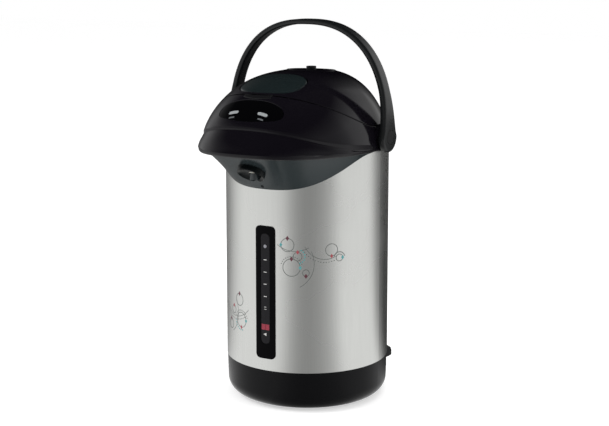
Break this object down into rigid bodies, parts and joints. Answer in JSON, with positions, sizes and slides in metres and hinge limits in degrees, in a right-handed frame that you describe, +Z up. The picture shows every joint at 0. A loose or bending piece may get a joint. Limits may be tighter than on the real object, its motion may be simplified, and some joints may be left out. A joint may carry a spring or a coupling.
{
  "type": "electric thermo pot",
  "caption": "Electric hot water pot with a brushed steel body, overhanging black head, press-down air pump plate, gauge window and bail handle.",
  "frame": {"origin": "centre of the rest face, on the pot's upright axis", "axes": "+Z up along the pot's axis; the spout faces -Y; the handle pivots lie on +X and -X"},
  "size_m": [0.182, 0.2246, 0.3795],
  "materials": {
    "black_plastic": "satin black moulding",
    "black_gloss": "polished black moulding",
    "grey_gloss": "polished dark grey moulding",
    "grey_plastic": "satin dark grey moulding",
    "smoke_gloss": "polished smoke-tinted moulding",
    "steel": "fine vertical-grained satin",
    "vessel_steel": "satin drawn sheet",
    "screw_steel": "zinc plated",
    "dark_screw": "blackened",
    "clear": "clear, polished",
    "lens": "clear, slightly frosted",
    "rubber": "matt",
    "silicone": "matt, pale",
    "pale_plastic": "satin, heat resistant",
    "felt": "loose matt felt",
    "heater": "cast, matt",
    "heater_brass": "mica band with a brass skin",
    "board_green": "lacquered laminate",
    "wire_red": "silicone sleeve"
  },
  "bodies": {
    "foot": {"turntable": "black_plastic", "grip_ring": "rubber"},
    "pot": {"bottom_plate": "black_plastic", "bottom_screws": "screw_steel", "base_cover": "black_gloss", "body_shell": "steel", "gauge_panel": "black_gloss", "gauge_window": "clear", "gauge_tube": "clear", "outlet_elbow": "pale_plastic", "delivery_elbow": "pale_plastic", "vessel": "vessel_steel", "vessel_floor": "vessel_steel", "vessel_neck": "vessel_steel", "insulation_jacket": "felt", "heater_plate": "heater", "heater_band": "heater_brass", "thermostats": "pale_plastic", "thermal_fuse": "pale_plastic", "control_board": "board_green", "board_screws": "screw_steel", "wiring": "wire_red", "power_inlet": "black_plastic", "inlet_pins": "screw_steel", "shoulder_ring": "black_plastic", "hood": "black_gloss", "chin_cover": "grey_gloss", "chin_screw": "dark_screw", "spout_bowl": "grey_gloss", "spout_nozzle": "black_plastic", "control_panel": "black_gloss", "indicator_lenses": "lens", "indicator_board": "board_green", "pivot_screws": "dark_screw", "lid_hinge_pin": "screw_steel"},
    "handle": {"handle": "grey_plastic"},
    "lid": {"lid_shell": "black_gloss", "lid_base": "pale_plastic", "lid_screws": "screw_steel", "lid_gasket": "silicone", "bellows": "rubber", "return_spring": "screw_steel", "air_valve": "silicone", "vent_pipe": "silicone"},
    "catch": {"lid_catch": "grey_plastic"},
    "plate": {"push_plate": "smoke_gloss"},
    "dial": {"lock_dial": "grey_plastic"}
  },
  "joints": [
    {"name": "swivel", "type": "hinge", "parent": "foot", "child": "pot", "pos_m": [0, 0, 0], "axis": [0, 0, 1], "continuous": true},
    {"name": "handle_swing", "type": "hinge", "parent": "pot", "child": "handle", "pos_m": [0, 0.004, 0.267], "axis": [1, 0, 0], "range_deg": [-88, 48]},
    {"name": "lid_hinge", "type": "hinge", "parent": "pot", "child": "lid", "pos_m": [0, 0.082, 0.275], "axis": [1, 0, 0], "range_deg": [-22, 0]},
    {"name": "pump_press", "type": "slide", "parent": "lid", "child": "plate", "axis": [0, 0, 1], "range_m": [-0.012, 0], "stiffness_N_per_m": 1200, "springref_m": 0.003, "deforming": ["bellows", "return_spring"]},
    {"name": "vent_lock", "type": "hinge", "parent": "lid", "child": "dial", "pos_m": [0, 0.008, 0.321], "axis": [0, 0, 1], "range_deg": [-60, 60]},
    {"name": "catch_press", "type": "slide", "parent": "pot", "child": "catch", "axis": [0, 0, 1], "range_m": [-0.0015, 0], "stiffness_N_per_m": 1500, "springref_m": 0.002}
  ]
}
